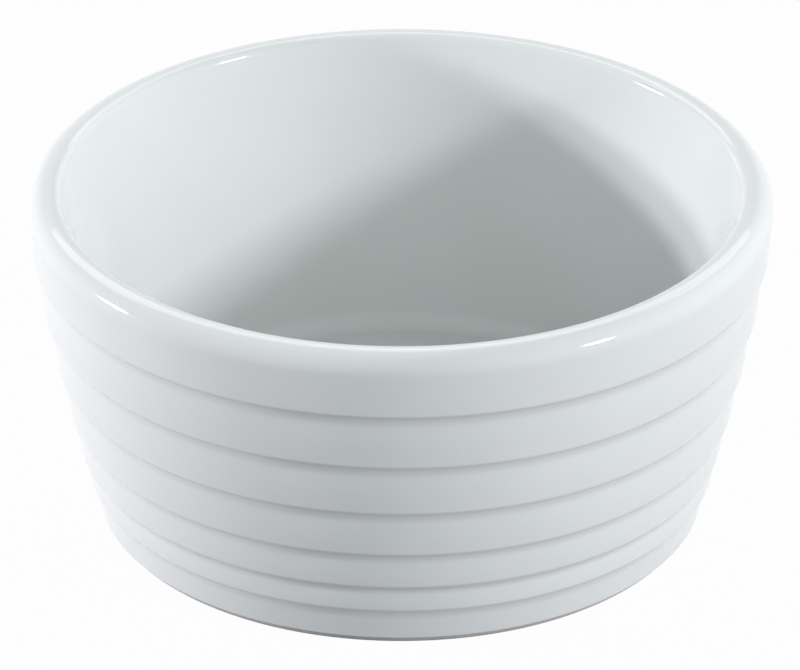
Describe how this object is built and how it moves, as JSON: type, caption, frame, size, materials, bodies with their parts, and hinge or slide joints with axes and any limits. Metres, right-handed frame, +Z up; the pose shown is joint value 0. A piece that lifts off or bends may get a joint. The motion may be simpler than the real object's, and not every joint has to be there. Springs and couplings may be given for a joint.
{
  "type": "ramekin",
  "caption": "Small round white glazed porcelain ramekin with a rounded rim, a tapered wall of stepped bands and a bare foot ring, for baking and serving one portion.",
  "frame": {"origin": "centre of the foot ring's resting plane", "axes": "+Z up along the axis of revolution; X and Y lie in the resting plane"},
  "size_m": [0.09, 0.09, 0.0433],
  "materials": {
    "porcelain": "bare fired porcelain, matt and slightly grainy",
    "glaze": "clear white glaze, glossy"
  },
  "bodies": {
    "root": {"porcelain_body": "porcelain", "glaze_coat": "glaze", "underside_glaze": "glaze"}
  },
  "joints": []
}
